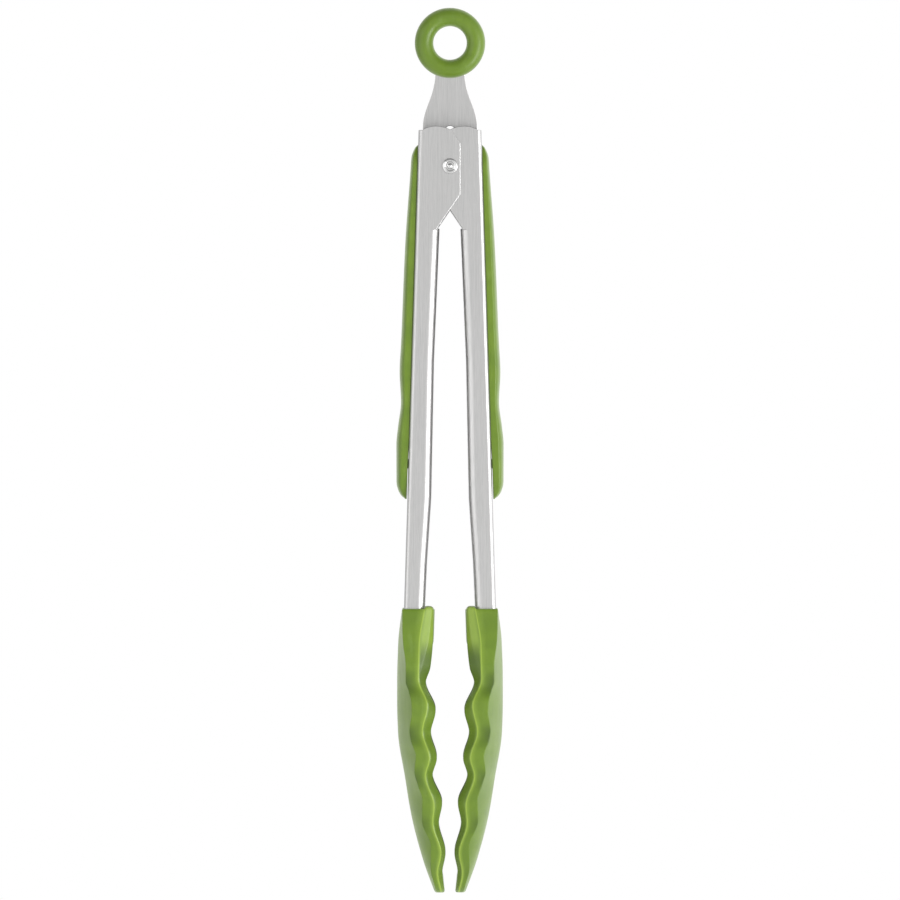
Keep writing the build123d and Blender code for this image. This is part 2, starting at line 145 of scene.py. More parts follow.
class Shader:
    """A node tree for a material or the world, built one expression at a time."""

    def __init__(self, owner: Any) -> None:
        """Clears the owner's nodes.

        Args:
            owner: a material or a world.
        """
        owner.use_nodes = True
        self.owner = owner
        self.tree = owner.node_tree
        self.tree.nodes.clear()

    def node(
        self,
        kind: str,
        settings: dict[str, Any] | None = None,
        sockets: dict[Union[str, int], Term] | None = None,
        output: Union[str, int] = 0,
    ) -> Wire:
        """Adds a node.

        Args:
            kind: the node's type.
            settings: its own properties, set first.
            sockets: input name or number, and the value or link that goes in.
            output: name or number of the output wanted.

        Returns:
            The chosen output.
        """
        made = self.tree.nodes.new(kind)
        for key, value in (settings or {}).items():
            setattr(made, key, value)
        for key, value in (sockets or {}).items():
            if isinstance(value, Wire):
                self.tree.links.new(value.socket, made.inputs[key])
            else:
                made.inputs[key].default_value = value
        return Wire(self, made.outputs[output]) if made.outputs else Wire(self, None)

    def combine(self, operation: str, first: Term, second: Term) -> Wire:
        """Adds the node that suits what is combined.

        Args:
            operation: ADD, SUBTRACT or MULTIPLY.
            first: the left operand.
            second: the right operand.

        Returns:
            The result's socket.
        """
        kinds = {w.socket.type for w in (first, second) if isinstance(w, Wire)}
        if "RGBA" in kinds:
            settings = {"data_type": "RGBA", "blend_type": operation}
            return self.node("ShaderNodeMix", settings, {0: 1.0, 6: first, 7: second}, 2)
        kind = "ShaderNodeVectorMath" if "VECTOR" in kinds else "ShaderNodeMath"
        return self.node(kind, {"operation": operation}, {0: first, 1: second})

    def mix(self, share: Term, first: Term, second: Term) -> Wire:
        """Goes from one colour to another by a share."""
        pair = {6: self.opaque(first), 7: self.opaque(second)}
        return self.node("ShaderNodeMix", {"data_type": "RGBA"}, {0: share, **pair}, 2)

    @staticmethod
    def opaque(colour: Term) -> Term:
        """A plain colour with its fourth number, or a link as it is."""
        return colour if isinstance(colour, Wire) else (*colour, 1.0)

    def millimetres(self) -> Wire:
        """The place on the object in millimetres, in the piece's own frame."""
        place = self.node("ShaderNodeTexCoord", output="Object")
        return place * (1 / MM, 1 / MM, 1 / MM)

    def noise(self, place: Wire, grain: Grain) -> Wire:
        """Noise from 0 to 1.

        Args:
            place: where, in millimetres.
            grain: the noise wanted.

        Returns:
            Its value there.
        """
        octaves = {"Detail": grain.detail, "Roughness": grain.roughness}
        sockets = {"Vector": place * grain.stretch, "Scale": 1.0, **octaves}
        return self.node("ShaderNodeTexNoise", None, sockets)

    def axes(self, vector: Wire) -> tuple[Wire, Wire, Wire]:
        """The X, Y and Z of a vector."""
        x, y, z = (self.node("ShaderNodeSeparateXYZ", None, {0: vector}, n) for n in "XYZ")
        return x, y, z

    def length(self, vector: Wire) -> Wire:
        """The length of a vector."""
        return self.node("ShaderNodeVectorMath", {"operation": "LENGTH"}, {0: vector}, 1)

    def bump(self, strength: float, depth: float, height: Wire, **more: Wire) -> Wire:
        """A relief of so many millimetres on the surface's normal."""
        sockets = {"Strength": strength, "Distance": depth * MM, "Height": height, **more}
        return self.node("ShaderNodeBump", None, sockets)

    def span(self, value: Wire, low: float, high: float, to_low: float, to_high: float) -> Wire:
        """Maps a range of values to another, smoothly and without passing its ends."""
        sockets = {0: value, 1: low, 2: high, 3: to_low, 4: to_high}
        return self.node("ShaderNodeMapRange", {"interpolation_type": "SMOOTHSTEP"}, sockets)

    def edges(self, radius: float) -> tuple[Wire, Wire]:
        """Softened edges for a hard piece.

        Args:
            radius: the softening in millimetres.

        Returns:
            The softened normal, and a mask that is 1 on the edges.
        """
        soft = self.node("ShaderNodeBevel", {"samples": BEVEL_SAMPLES}, {"Radius": radius * MM})
        flat = self.node("ShaderNodeNewGeometry", output="True Normal")
        dot = {"operation": "DOT_PRODUCT"}
        along = self.node("ShaderNodeVectorMath", dot, {0: soft, 1: flat}, 1)
        return soft, self.span(along, *EDGE_COSINES, 1.0, 0.0)

    def metal(self, colour: Wire, rough: Wire, normal: Wire) -> bpy.types.Material:
        """Ends a material as bare metal."""
        sockets = {"Base Color": colour, "Metallic": 1.0, "Roughness": rough, "Normal": normal}
        return self.finish(sockets)

    def finish(self, sockets: dict[str, Term]) -> bpy.types.Material:
        """Ends a material with the standard surface shader.

        Args:
            sockets: the surface's inputs by name.

        Returns:
            The material.
        """
        surface = self.node("ShaderNodeBsdfPrincipled", None, sockets)
        self.node("ShaderNodeOutputMaterial", None, {"Surface": surface})
        return self.owner


# ---- finishes


@dataclass(frozen=True)
class SiliconeFinish:
    """Satin moulded silicone: a faint bloom, a painted highlight on the ledges and flaps, and
    painted shade over the valleys and in the folds.
    """

    name: str = "green_silicone"
    light: Colour = (0.131, 0.223, 0.007)
    dark: Colour = (0.111, 0.196, 0.005)
    bloom: Colour = (0.30, 0.42, 0.14)
    # painted highlight: the pale green laid along the ledge's edge line and on the flap facet
    thin: Colour = (0.40, 0.56, 0.07)
    # painted shade: the darker green laid over the valleys and in the fold below the flap
    shade_colour: Colour = (0.055, 0.105, 0.002)
    roughness: Point2 = (0.31, 0.43)
    cloud: Grain = Grain((0.12, 0.12, 0.12))
    speck: Grain = Grain((2.4, 2.4, 2.4))
    skin: Grain = Grain((7.0, 7.0, 7.0), 2.0, 0.5)
    smear: Grain = Grain((0.35, 0.35, 0.09))
    most_bloom: float = 0.12

    def material(self) -> bpy.types.Material:
        """Makes the finish's nodes.

        Returns:
            The material.
        """
        shader = Shader(bpy.data.materials.new(self.name))
        place = shader.millimetres()
        cloud = shader.noise(place, self.cloud)
        speck = shader.noise(place, self.speck)
        skin = shader.noise(place, self.skin)
        smear = shader.noise(place, self.smear)
        body = shader.mix(shader.span(cloud, 0.35, 0.65, 0.0, 1.0), self.dark, self.light)
        dusty = shader.span(smear, 0.52, 0.78, 0.0, self.most_bloom)
        bloomed = shader.mix(dusty, body, self.bloom)
        # painted highlight mask, from the mesh: the ledge line and the flap facet
        ridge_highlight = shader.node("ShaderNodeAttribute", {"attribute_name": PAINTED_HIGHLIGHT}, output="Fac")
        # painted shade mask, from the mesh: over the valleys and in the fold below the flap
        valley_shade = shader.node("ShaderNodeAttribute", {"attribute_name": PAINTED_SHADE}, output="Fac")
        colour = shader.mix(valley_shade, shader.mix(ridge_highlight, bloomed, self.thin), self.shade_colour)
        rough = shader.span(smear, 0.3, 0.7, *self.roughness) + speck * 0.05
        grain = speck * 0.35 + skin * 0.65
        return shader.finish(
            {
                "Base Color": colour,
                "Roughness": rough,
                "Normal": shader.bump(0.16, 0.06, grain),
                "IOR": 1.50,
                "Sheen Weight": 0.55,
                "Sheen Roughness": 0.45,
                "Sheen Tint": (0.86, 0.95, 0.72, 1.0),
                "Subsurface Weight": 0.06,
                "Subsurface Radius": (0.6, 0.9, 0.2),
                "Subsurface Scale": 1.2 * MM,
            }
        )


@dataclass(frozen=True)
class BrushedSteelFinish:
    """Stainless sheet brushed along its length; its edges are lighter, part worn and part painted
    highlight, and surfaces facing up or down carry painted shade.
    """

    name: str = "brushed_steel"
    light: Colour = (0.63, 0.625, 0.62)
    dark: Colour = (0.50, 0.50, 0.495)
    # edge: light grey for worn scratches, and on the edges partly a painted highlight
    edge: Colour = (0.90, 0.90, 0.89)
    # painted shade colour for surfaces facing up or down
    up_down_shade: Colour = (0.10, 0.10, 0.10)
    roughness: Point2 = (0.26, 0.40)
    softening: float = 0.36
    fine: Grain = Grain((7.0, 7.0, 0.16), 4.0, 0.7)
    broad: Grain = Grain((1.6, 1.6, 0.022), 3.0)
    haze: Grain = Grain((0.06, 0.06, 0.03), 3.0, 0.5)
    scratch: Grain = Grain((0.9, 0.9, 3.1), 2.0, 0.9)

    def material(self) -> bpy.types.Material:
        """Makes the finish's nodes.

        Returns:
            The material.
        """
        shader = Shader(bpy.data.materials.new(self.name))
        place = shader.millimetres()
        fine = shader.noise(place, self.fine)
        broad = shader.noise(place, self.broad)
        haze = shader.noise(place, self.haze)
        scratch = shader.noise(place, self.scratch)
        normal, edge = shader.edges(self.softening)
        streak = fine * 0.7 + broad * 0.3
        sheet = shader.mix(shader.span(streak, 0.32, 0.68, 0.0, 1.0), self.dark, self.light)
        marks = shader.span(scratch, 0.70, 0.80, 0.0, 0.25)
        marked = shader.mix(marks, sheet, self.edge)
        # every edge lighter: part worn edge, part painted highlight
        worn_and_highlit = shader.mix(edge, marked, self.edge)
        turned = {"vector_type": "NORMAL", "convert_from": "WORLD", "convert_to": "OBJECT"}
        own = shader.node("ShaderNodeVectorTransform", turned, {0: normal})
        aside, _, up = shader.axes(own)
        # painted shade: surfaces facing up or down in the part's frame go towards near black
        ends = shader.span(up * up - aside * aside, 0.03, 0.14, 0.0, 0.85)
        colour = shader.mix(ends, worn_and_highlit, self.up_down_shade)
        low, high = self.roughness
        rough = shader.span(streak, 0.35, 0.65, high, low) + haze * 0.08 - edge * 0.08
        bump = shader.bump(0.22, 0.05, streak, Normal=normal)
        return shader.metal(colour, rough, bump)


@dataclass(frozen=True)
class TurnedSteelFinish:
    """Bright steel with faint turning lines round one axis, for the rivet and its sleeves."""

    name: str
    light: Colour
    dark: Colour
    roughness: Point2
    centre: Point3
    edge: Colour = (0.85, 0.85, 0.84)
    softening: float = 0.08
    turning: Grain = Grain((5.0, 1.0, 1.0), 3.0)
    mottle: Grain = Grain((0.9, 0.9, 0.9))

    def material(self) -> bpy.types.Material:
        """Makes the finish's nodes.

        Returns:
            The material.
        """
        shader = Shader(bpy.data.materials.new(self.name))
        place = shader.millimetres() - self.centre
        radius = shader.length(place * (1.0, 0.0, 1.0))
        spread = shader.node("ShaderNodeCombineXYZ", None, {0: radius})
        turning = shader.noise(spread, self.turning)
        mottle = shader.noise(place, self.mottle)
        normal, edge = shader.edges(self.softening)
        streak = turning * 0.6 + mottle * 0.4
        body = shader.mix(shader.span(streak, 0.35, 0.65, 0.0, 1.0), self.dark, self.light)
        colour = shader.mix(edge * 0.5, body, self.edge)
        low, high = self.roughness
        rough = shader.span(streak, 0.3, 0.7, high, low)
        return shader.metal(colour, rough, shader.bump(0.12, 0.03, streak, Normal=normal))


@dataclass(frozen=True)
class DrawnWireFinish:
    """Hard drawn spring wire with a slightly darker, drawn skin."""

    name: str = "spring_steel"
    light: Colour = (0.52, 0.515, 0.50)
    dark: Colour = (0.36, 0.355, 0.345)
    roughness: Point2 = (0.22, 0.38)
    drawn: Grain = Grain((3.0, 8.0, 3.0))
    patch: Grain = Grain((0.5, 0.5, 0.5), 3.0, 0.5)

    def material(self) -> bpy.types.Material:
        """Makes the finish's nodes.

        Returns:
            The material.
        """
        shader = Shader(bpy.data.materials.new(self.name))
        place = shader.millimetres()
        drawn = shader.noise(place, self.drawn)
        patch = shader.noise(place, self.patch)
        mixed = drawn * 0.5 + patch * 0.5
        colour = shader.mix(shader.span(mixed, 0.38, 0.62, 0.0, 1.0), self.dark, self.light)
        low, high = self.roughness
        rough = shader.span(mixed, 0.3, 0.7, high, low)
        return shader.metal(colour, rough, shader.bump(0.15, 0.03, drawn))


@dataclass(frozen=True)
class FloorFinish:
    """Pale painted board that fades into the white surround."""

    solid: float
    radius: float
    name: str = "studio_floor"
    colour: Colour = (0.93, 0.93, 0.93)
    shade: float = 0.97
    glow: float = 0.30
    cloud: Grain = Grain((0.004, 0.004, 0.004), 2.0, 0.5)

    def material(self) -> bpy.types.Material:
        """Makes the finish's nodes.

        Returns:
            The material.
        """
        shader = Shader(bpy.data.materials.new(self.name))
        place = shader.millimetres()
        shade = tuple(self.shade * c for c in self.colour)
        colour = shader.mix(shader.noise(place, self.cloud), self.colour, shade)
        away = shader.length(place * (1.0, 1.0, 0.0))
        solid = shader.span(away, self.solid / MM, self.radius / MM, 1.0, 0.0)
        glow = {"Emission Color": (1, 1, 1, 1), "Emission Strength": self.glow}
        return shader.finish({"Base Color": colour, "Roughness": 0.85, "Alpha": solid, **glow})


# ---- setting out


@dataclass(frozen=True)
class Outline:
    """A smooth line through a few (place, value) points that never overshoots them."""

    points: tuple[Point2, ...]

    def _slopes(self) -> list[float]:
        """Works out how steep the line is, level at every local high and low.

        Returns:
            The slope at each point.
        """
        pairs = list(zip(self.points, self.points[1:]))
        runs = [(b[1] - a[1]) / (b[0] - a[0]) for a, b in pairs]
        inner = [0.0 if a * b <= 0 else 2 * a * b / (a + b) for a, b in zip(runs, runs[1:])]
        return [runs[0], *inner, runs[-1]]

    def at(self, place: float) -> float:
        """Reads the line; beyond its ends it stays at the end's value.

        Args:
            place: where to read it.

        Returns:
            The value there.
        """
        first, last = self.points[0], self.points[-1]
        if place <= first[0]:
            return first[1]
        if place >= last[0]:
            return last[1]
        slopes = self._slopes()
        for i, ((x0, y0), (x1, y1)) in enumerate(zip(self.points, self.points[1:])):
            if place <= x1:
                run = x1 - x0
                t = (place - x0) / run
                rise = 3 * t * t - 2 * t**3
                bend = (t**3 - 2 * t * t + t) * slopes[i] + (t**3 - t * t) * slopes[i + 1]
                return y0 + (y1 - y0) * rise + run * bend
        return last[1]


def smooth(share: float) -> float:
    """0 to 1 with level ends."""
    share = min(1.0, max(0.0, share))
    return share * share * (3 - 2 * share)


def steps(count: int) -> list[float]:
    """Shares from 0 to 1 in so many equal steps."""
    return [i / count for i in range(count + 1)]


def circle(count: int) -> list[float]:
    """So many angles equally spaced round a circle."""
    return [2 * math.pi * s for s in steps(count)[:-1]]


def bezier(points: Sequence[Point2], share: float) -> Point2:
    """Finds a point on a Bezier curve of any order.

    Args:
        points: the curve's control points.
        share: how far along it, from 0 to 1.

    Returns:
        The point.
    """
    line = list(points)
    while len(line) > 1:
        line = [
            (a[0] + (b[0] - a[0]) * share, a[1] + (b[1] - a[1]) * share)
            for a, b in zip(line, line[1:])
        ]
    return line[0]


def rounded(corners: Sequence[Point3], fill: int = 2, arc: int = 4) -> list[Point2]:
    """An open line with its corners rounded, always with the same number of points.

    Args:
        corners: x, y and rounding at each corner; a rounding of 0 keeps a point as it is.
        fill: points put on each straight run between two rounded corners.
        arc: steps round each corner.

    Returns:
        The line's points.
    """
    line: list[Point2] = []
    count = len(corners)
    for i, (x, y, r) in enumerate(corners):
        here = Vector((x, y))
        if r == 0 or i in (0, count - 1):
            line.append((x, y))
            continue
        before = Vector(corners[i - 1][:2]) - here
        after = Vector(corners[i + 1][:2]) - here
        reach = min(r, 0.45 * before.length, 0.45 * after.length)
        start = here + before.normalized() * reach
        end = here + after.normalized() * reach
        if corners[i - 1][2] > 0 and line:
            last = Vector(line[-1])
            line += [tuple(last.lerp(start, k / (fill + 1))) for k in range(1, fill + 1)]
        line += [bezier([tuple(start), (x, y), tuple(end)], s) for s in steps(arc)]
    return line


@dataclass(frozen=True)
class Datum:
    """Where a piece is set out from: the rivet's axis, and the middle of its own width."""

    side: Side
    rivet: float
    middle: float

    @classmethod
    def of(cls, node: str, side: Side = Side.LEFT) -> "Datum":
        """Sets out the piece that stands for a CAD node.

        Args:
            node: the CAD node.
            side: the half that it belongs to.

        Returns:
            Its datum.
        """
        low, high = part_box("pivot_rivet")
        near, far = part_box(node)
        return cls(side, (low.z + high.z) / 2, (near.y + far.y) / 2)

    def point(self, out: float, across: float, up: float) -> Vector:
        """A point in the row frame.

        Args:
            out: millimetres outwards from the centre line.
            across: millimetres along the rivet from the piece's middle.
            up: millimetres above the rivet's axis.

        Returns:
            The point in metres.
        """
        turn = self.side.value
        return Vector((-turn * out * MM, self.middle + turn * across * MM, self.rivet + up * MM))


class Shell:
    """A mesh that is put together ring by ring."""

    def __init__(self) -> None:
        """Starts an empty mesh."""
        self.points: list[Vector] = []
        self.faces: list[list[int]] = []
        self.marks: dict[str, dict[int, float]] = {}

    def ring(self, points: Sequence[Vector]) -> list[int]:
        """Adds points.

        Args:
            points: their places in metres.

        Returns:
            Their numbers.
        """
        start = len(self.points)
        self.points += points
        return list(range(start, len(self.points)))

    def mark(self, name: str, ring: Sequence[int], weights: Sequence[float]) -> None:
        """Gives each point of a ring a weight under a name."""
        self.marks.setdefault(name, {}).update(zip(ring, weights))

    def band(self, first: list[int], second: list[int]) -> None:
        """Joins two closed rings with quads.

        Args:
            first: one ring's point numbers.
            second: the other's.
        """
        count = len(first)
        for i in range(count):
            j = (i + 1) % count
            self.faces.append([first[i], first[j], second[j], second[i]])

    def tube(self, rings: Sequence[Sequence[Vector]], closed: bool = False) -> list[list[int]]:
        """Joins a run of closed rings.

        Args:
            rings: the points of each ring.
            closed: whether the last joins the first.

        Returns:
            Each ring's point numbers.
        """
        made = [self.ring(points) for points in rings]
        for first, second in zip(made, made[1:]):
            self.band(first, second)
        if closed:
            self.band(made[-1], made[0])
        return made

    def bar(self, rings: Sequence[Sequence[Vector]]) -> None:
        """Joins a run of closed rings and closes both ends.

        Args:
            rings: the points of each ring.
        """
        made = self.tube(rings)
        self.lid(made[0])
        self.lid(made[-1])

    def lid(self, ring: list[int]) -> None:
        """Closes a ring with a fan about its middle.

        Args:
            ring: its point numbers.
        """
        middle = sum((self.points[i] for i in ring), Vector()) / len(ring)
        centre = self.ring([middle])[0]
        for a, b in zip(ring, ring[1:] + ring[:1]):
            self.faces.append([a, b, centre])

    def folded_lid(self, ring: list[int], last: int) -> None:
        """Closes a mirrored ring row by row, so that each row is level across.

        Args:
            ring: point numbers that start on the mirror line and go round it.
            last: the row after which what is left is one face.
        """
        count = len(ring)
        mirror = [ring[-i % count] for i in range(count)]
        self.faces.append([ring[0], ring[1], mirror[1]])
        for i in range(1, last):
            self.faces.append([ring[i], ring[i + 1], mirror[i + 1], mirror[i]])
        self.faces.append(ring[last : count - last + 1])

    def build(self, name: str, material: bpy.types.Material) -> bpy.types.Object:
        """Makes the mesh object, smooth and with its faces outwards.

        Args:
            name: the piece's name.
            material: its finish.

        Returns:
            The object, in the scene.
        """
        mesh = bpy.data.meshes.new(name)
        mesh.from_pydata([tuple(p) for p in self.points], [], self.faces)
        for mark, known in self.marks.items():
            weights = [known.get(i, 0.0) for i in range(len(self.points))]
            mesh.attributes.new(mark, "FLOAT", "POINT").data.foreach_set("value", weights)
        work = bmesh.new()
        work.from_mesh(mesh)
        bmesh.ops.remove_doubles(work, verts=work.verts, dist=1e-7)
        bmesh.ops.recalc_face_normals(work, faces=work.faces)
        work.to_mesh(mesh)
        work.free()
        mesh.shade_smooth()
        mesh.materials.append(material)
        piece = bpy.data.objects.new(name, mesh)
        bpy.context.scene.collection.objects.link(piece)
        return piece


def hand_over(piece: bpy.types.Object, body: str, slot: Slot, *nodes: str) -> bpy.types.Object:
    """Puts a finished piece on its body.

    Args:
        piece: the piece.
        body: the body's name.
        slot: the material slot that its finish comes from; it is not used.
        nodes: the CAD nodes that it stands for.

    Returns:
        The piece.
    """
    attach(piece, body)
    if nodes:
        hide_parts(*nodes)
    log.info("%s rides on %s, %d points", piece.name, body, len(piece.data.vertices))
    return piece


# ---- soft heads


@dataclass
class ScallopedHead:
    """A soft jaw moulded over an arm's end: curved back, flat cheeks, scalloped lip, hollow.

    Places along it are millimetres below the rivet's axis, and distances are from the centre line.
    """

    side: Side
    material: bpy.types.Material
    collar: float = 176.5
    tip: float = 290.1
    collar_fade: float = 4.0
    lift: float = 0.8
    lift_from: float = 9.9
    lift_run: float = 0.7
    corner: float = 1.5
    corner_from: float = 7.85
    back: Outline = Outline(
        ((176, 19.1), (190, 20.7), (206, 21.15), (214, 21.15), (226, 20.8), (244, 18.0),
         (259, 15.5), (277, 10.8), (290.1, 6.1))
    )
    crease: Outline = Outline(
        ((176, 19.05), (184, 19.0), (190, 18.7), (199, 17.6), (205.5, 17.6), (209, 16.5),
         (214.5, 15.3), (218, 15.2), (225, 16.1), (228.7, 15.6), (235, 13.6), (241.5, 14.1),
         (246.6, 12.8), (253, 10.9), (261, 11.1), (271.5, 7.5), (280, 7.7), (286, 6.4),
         (290.1, 5.2))
    )
    ledge: Outline = Outline(
        ((176, 10.0), (191, 12.3), (204.6, 12.6), (215, 9.1), (225.5, 11.0), (236, 8.2),
         (243, 9.8), (255, 6.4), (262, 6.9), (274, 3.7), (282, 5.0), (290.1, 3.4))
    )
    facet: Outline = Outline(
        ((176, 6.9), (185, 7.9), (190, 8.7), (194, 9.7), (199, 11.0), (204, 12.0), (215, 8.4),
         (225.5, 10.3), (236, 7.5), (243, 9.1), (255, 5.7), (262, 6.2), (274, 3.2), (282, 4.4),
         (290.1, 3.0))
    )
    edge: Outline = Outline(
        ((176, 6.3), (190, 6.8), (200, 7.8), (206, 9.6), (217, 5.7), (226, 7.6), (236, 5.2),
         (243, 6.9), (254, 3.1), (262, 4.4), (274, 1.75), (282, 3.0), (290.1, 2.3))
    )
    half_width: Outline = Outline(
        ((176, 14.2), (190, 16.3), (206, 18.4), (215, 19.0), (236, 18.2), (258, 15.0),
         (276, 10.8), (284, 7.8), (288, 5.4), (290.1, 3.4))
    )
    pinch: Outline = Outline(
        ((199, 0), (206.5, 1.5), (214.5, 0), (219.5, 0), (226.5, 1.4), (234, 0), (237, 0),
         (244, 1.2), (252, 0), (256, 0), (262.5, 1.0), (270, 0), (276, 0), (282, 0.6),
         (287, 0))
    )
    lip: float = 3.2
    land: float = 1.1
    full_half: float = 9.0
    roundings: tuple[float, ...] = (0.30, 0.38, 0.5, 0.8, 0.6)
    hair: float = 0.05
    wedge: float = 0.35
    wedge_more: float = 0.9
    wedge_end: float = 206.0
    keel: float = 0.34
    keel_more: float = 0.20
    keel_start: float = 246.0
    fade: float = 20.0
    bend_steps: int = 14
    floor: float = 3.4
    hollow: tuple[float, float, float, float] = (189.5, 203.0, 272.0, 284.0)
    station: float = 0.85
    top_round: float = 0.8
    dish: tuple[Point2, ...] = (
        (0.86, 0.42), (0.90, 0.16), (0.935, 0.02), (0.965, 0.04), (0.985, 0.16), (0.997, 0.38)
    )
    tip_round: float = 1.1
    tip_shrink: float = 0.28
    tip_rows: tuple[float, ...] = (0.2, 0.4, 0.6, 0.75, 0.87, 0.95, 0.99, 1.0)
    # widths and strengths of the painted highlight on the ledge line and the flap, and of the
    # painted shade over the valleys and in the fold
    ridge_width: float = 0.6
    ridge_highlight_weight: float = 0.6
    deepest: float = 1.5
    valley_shade_weight: float = 0.95
    flap_highlight_weight: float = 0.40
    fold_shade_weight: float = 0.7
    flap: Point2 = (188.0, 197.0)

    def __post_init__(self) -> None:
        """Reads where the head stands from its CAD node."""
        self.node = f"{self.side.word}_head"
        self.datum = Datum.of(self.node, self.side)

    def depth(self, drop: float) -> float:
        """How much of the hollow there is, from 0 to 1, at a place down the head."""
        start, full, fading, end = self.hollow
        return smooth((drop - start) / (full - start)) * smooth((end - drop) / (end - fading))

    def crest(self, drop: float) -> float:
        """Half the head's width at a place down it."""
        return self.half_width.at(drop) - self.pinch.at(drop)

    def half_section(self, drop: float) -> list[Point2]:
        """Sets out a section from the middle of the back round to the middle of the hollow.

        Args:
            drop: the place below the rivet.

        Returns:
            Its points (out, across) in millimetres.
        """
        back, crease = self.back.at(drop), self.crease.at(drop)
        ledge, facet, edge = self.ledge.at(drop), self.facet.at(drop), self.edge.at(drop)
        half = self.crest(drop)
        crease = min(crease, back - self.hair)
        small = min(1.0, half / self.full_half)
        lip, land = self.lip * small, self.land * small
        wedge = self.wedge_more * smooth((self.wedge_end - drop) / self.fade) + self.wedge
        keel = (self.keel + self.keel_more * smooth((drop - self.keel_start) / self.fade)) * half
        bends = steps(self.bend_steps)
        bow = [bezier([(back, 0), (back, keel), (crease, half)], s) for s in bends]
        corners: list[Point3] = [(x, y, 0.0) for x, y in bow[:-1]]
        rim = half - lip - land
        turns = [
            (crease, half),
            (ledge, half),
            (facet, half - wedge * small),
            (edge, half - lip),
            (edge + self.hair, rim),
        ]
        corners += [(x, y, r * small) for (x, y), r in zip(turns, self.roundings)]
        level = back - self.floor
        bottom = edge - 0.25 + (level - edge + 0.25) * self.depth(drop)
        down = [turns[-1], (bottom, 0.97 * rim), (bottom, 0.55 * rim), (bottom, 0.0)]
        corners += [(*bezier(down, s), 0.0) for s in bends[1:]]
        return rounded(corners)

    def rise(self, out: float) -> float:
        """Finds how far the collar's lip stands up, with its inner corner rounded off.

        Args:
            out: millimetres from the centre line.

        Returns:
            Its height in millimetres.
        """
        lip = self.lift * smooth((self.lift_from + self.lift_run / 2 - out) / self.lift_run)
        corner = min(0.97, max(0.0, (self.corner_from - out) / self.corner))
        return lip - self.corner * (1 - math.sqrt(1 - corner * corner))

    def section(self, drop: float, shrink: float = 1.0, sink: float = 0.0) -> list[Vector]:
        """A closed ring of the head.

        Args:
            drop: the place below the rivet.
            shrink: size about the section's own middle, for rounded ends.
            sink: millimetres to lower the ring.

        Returns:
            The ring's points in metres, in the row frame.
        """
        half = self.half_section(drop)
        middle = (self.back.at(drop) + self.edge.at(drop)) / 2
        around = half + [(x, -y) for x, y in half[-2:0:-1]]
        fade = 1 - smooth((drop - self.collar) / self.collar_fade)
        ring = []
        for x, y in around:
            out = middle + (x - middle) * shrink
            ring.append(self.datum.point(out, y * shrink, self.rise(x) * fade - drop - sink))
        return ring

    def on_flap(self, x: float, y: float, ledge: float, crest: float) -> bool:
        """Whether a section's point is between the ledge and the lip's inner edge."""
        return x < ledge - 0.4 and y > crest - self.lip

    def ridge_highlight(self, drop: float) -> list[float]:
        """Weighs the painted highlight at each point of a ring, on the ledge's edge line and on
        the flap above it.

        Args:
            drop: the place below the rivet.

        Returns:
            A weight from 0 to 1 for each point.
        """
        half = self.half_section(drop)
        ledge, crest = self.ledge.at(drop), self.crest(drop)
        start, end = self.flap
        # painted highlight on the flap facet, which faces up and would catch more light
        flap = self.flap_highlight_weight * (1 - smooth((drop - start) / (end - start)))
        one = []
        for x, y in half:
            near = 1 - math.hypot(x - ledge, y - crest) / self.ridge_width
            pale = flap if self.on_flap(x, y, ledge, crest) else 0.0
            one.append(max(self.ridge_highlight_weight * smooth(near), pale))
        return one + one[-2:0:-1]

    def valley_shade(self, drop: float) -> list[float]:
        """Weighs the painted shade at each point of a ring, over the valleys and in the fold below
        the flap.

        Args:
            drop: the place below the rivet.

        Returns:
            A weight from 0 to 1 for each point.
        """
        half = self.half_section(drop)
        crease, ledge, crest = self.crease.at(drop), self.ledge.at(drop), self.crest(drop)
        # painted shade where the cheeks pinch in, strongest next to the crease; then in the fold
        # below the flap
        weight = self.valley_shade_weight * smooth(self.pinch.at(drop) / self.deepest)
        start, end = self.flap
        length = end - start
        fold = smooth((drop - start) / length) * (1 - smooth((drop - end - length / 2) / length))
        one = []
        for x, y in half:
            share = smooth((x - ledge) / (crease - ledge)) if y > crest - 0.2 else 0.0
            folded = self.fold_shade_weight * fold if self.on_flap(x, y, ledge, crest) else 0.0
            one.append(max(weight * share, folded))
        return one + one[-2:0:-1]

    def rings(self) -> tuple[list[float], list[list[Vector]]]:
        """Sets out the head from the collar's dished top to the rounded tip.

        Returns:
            The place of each ring, and its points.
        """
        top = self.collar
        first = top + self.top_round
        end = self.tip - self.tip_round
        plan = [(top, shrink, sink) for shrink, sink in self.dish]
        run = end - first
        plan += [(first + run * s, 1.0, 0.0) for s in steps(round(run / self.station))]
        for t in self.tip_rows:
            shrink = 1 - self.tip_shrink * (1 - math.sqrt(1 - t * t))
            plan.append((end + self.tip_round * t, shrink, 0.0))
        return [p[0] for p in plan], [self.section(*p) for p in plan]

    def build(self) -> None:
        """Makes the head and puts it on its arm."""
        shell = Shell()
        places, rings = self.rings()
        made = shell.tube(rings)
        for drop, ring in zip(places, made):
            # each ring carries its painted highlight and painted shade
            shell.mark(PAINTED_HIGHLIGHT, ring, self.ridge_highlight(drop))
            shell.mark(PAINTED_SHADE, ring, self.valley_shade(drop))
        rows = len(self.half_section(self.collar)) - (self.bend_steps + 1)
        shell.folded_lid(made[0], rows)
        shell.folded_lid(made[-1], rows)
        piece = shell.build(f"{self.side.word}_soft_head", self.material)
        hand_over(piece, self.side.word, Slot.SILICONE, self.node)


# ---- grips


